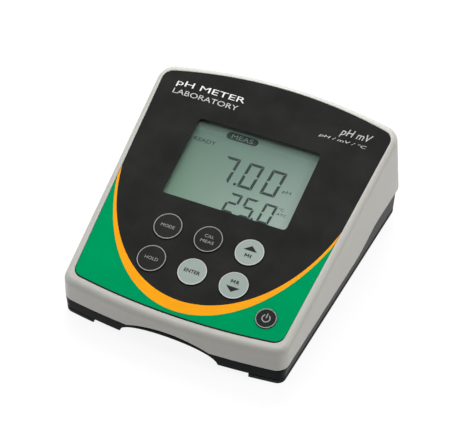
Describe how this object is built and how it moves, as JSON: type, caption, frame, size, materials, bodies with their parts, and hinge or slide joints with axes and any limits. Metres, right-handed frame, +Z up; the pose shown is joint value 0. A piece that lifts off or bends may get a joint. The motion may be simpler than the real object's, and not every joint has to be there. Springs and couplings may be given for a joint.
{
  "type": "ph meter",
  "caption": "Bench pH meter: sloping two-part case, membrane keypad with round sprung keys, recessed display and a recessed row of sockets at the back.",
  "frame": {"origin": "on the table, under the middle of the whole meter", "axes": "+Z up, -Y the front edge nearest the user, +Y the back with the sockets, +X to the user's right"},
  "size_m": [0.1536, 0.174, 0.0668],
  "materials": {
    "case_plastic": "fine spark texture",
    "base_plastic": "satin moulded",
    "panel_plastic": "satin moulded",
    "foot_rubber": "matte",
    "overlay_film": "velvet texture polyester, printed",
    "spacer_film": "plain film",
    "circuit_film": "printed polyester film",
    "key_dark": "velvet texture",
    "key_light": "velvet texture",
    "dome_steel": "bright",
    "clear_window": "polished acrylic",
    "bezel_plastic": "matte",
    "lcd_glass": "polarised glass",
    "reflector_film": "diffuse",
    "zebra_rubber": "matte",
    "circuit_board": "solder mask",
    "chip_plastic": "moulded epoxy",
    "connector_plastic": "moulded nylon",
    "ribbon_cable": "flat cable",
    "tinned_can": "tinned",
    "capacitor_sleeve": "shrink sleeve",
    "nickel_plate": "nickel plated",
    "white_insulator": "moulded",
    "gold_contact": "gold plated",
    "jack_plastic": "moulded",
    "brass_socket": "turned",
    "screw_steel": "zinc plated"
  },
  "bodies": {
    "case": {"bnc_body": "nickel_plate", "bnc_contact": "gold_contact", "bnc_insulator": "white_insulator", "bnc_nut": "nickel_plate", "board_screw_1": "screw_steel", "board_screw_2": "screw_steel", "board_screw_3": "screw_steel", "board_screw_4": "screw_steel", "bottom_case": "base_plastic", "case_screw_1": "screw_steel", "case_screw_2": "screw_steel", "case_screw_3": "screw_steel", "case_screw_4": "screw_steel", "crystal": "tinned_can", "display_bezel": "bezel_plastic", "display_board": "circuit_board", "display_cable": "ribbon_cable", "display_screw_left": "screw_steel", "display_screw_right": "screw_steel", "display_socket": "connector_plastic", "display_window": "clear_window", "dome_cal": "dome_steel", "dome_down": "dome_steel", "dome_enter": "dome_steel", "dome_hold": "dome_steel", "dome_mode": "dome_steel", "dome_power": "dome_steel", "dome_up": "dome_steel", "foot_front_left": "foot_rubber", "foot_front_right": "foot_rubber", "foot_rear_left": "foot_rubber", "foot_rear_right": "foot_rubber", "input_shield": "tinned_can", "keypad_circuit": "circuit_film", "keypad_overlay": "overlay_film", "keypad_socket": "connector_plastic", "keypad_spacer": "spacer_film", "lcd_glass": "lcd_glass", "lcd_reflector": "reflector_film", "main_board": "circuit_board", "microcontroller": "chip_plastic", "power_jack": "jack_plastic", "rear_panel": "panel_plastic", "reference_jack": "brass_socket", "supply_capacitor": "capacitor_sleeve", "temperature_jack": "jack_plastic", "temperature_jack_nut": "nickel_plate", "top_case": "case_plastic", "voltage_regulator": "chip_plastic", "zebra_strip_front": "zebra_rubber", "zebra_strip_rear": "zebra_rubber"},
    "key_mode": {"key_mode": "key_dark"},
    "key_cal": {"key_cal": "key_dark"},
    "key_up": {"key_up": "key_light"},
    "key_hold": {"key_hold": "key_dark"},
    "key_enter": {"key_enter": "key_light"},
    "key_down": {"key_down": "key_light"},
    "key_power": {"key_power": "key_dark"}
  },
  "joints": [
    {"name": "key_mode_press", "type": "slide", "parent": "case", "child": "key_mode", "axis": [0, 0.2588, -0.9659], "range_m": [0, 0.00025], "stiffness_N_per_m": 600},
    {"name": "key_cal_press", "type": "slide", "parent": "case", "child": "key_cal", "axis": [0, 0.2588, -0.9659], "range_m": [0, 0.00025], "stiffness_N_per_m": 600},
    {"name": "key_up_press", "type": "slide", "parent": "case", "child": "key_up", "axis": [0, 0.2588, -0.9659], "range_m": [0, 0.00025], "stiffness_N_per_m": 600},
    {"name": "key_hold_press", "type": "slide", "parent": "case", "child": "key_hold", "axis": [0, 0.2588, -0.9659], "range_m": [0, 0.00025], "stiffness_N_per_m": 600},
    {"name": "key_enter_press", "type": "slide", "parent": "case", "child": "key_enter", "axis": [0, 0.2588, -0.9659], "range_m": [0, 0.00025], "stiffness_N_per_m": 600},
    {"name": "key_down_press", "type": "slide", "parent": "case", "child": "key_down", "axis": [0, 0.2588, -0.9659], "range_m": [0, 0.00025], "stiffness_N_per_m": 600},
    {"name": "key_power_press", "type": "slide", "parent": "case", "child": "key_power", "axis": [0, 0.2588, -0.9659], "range_m": [0, 0.00025], "stiffness_N_per_m": 600}
  ]
}
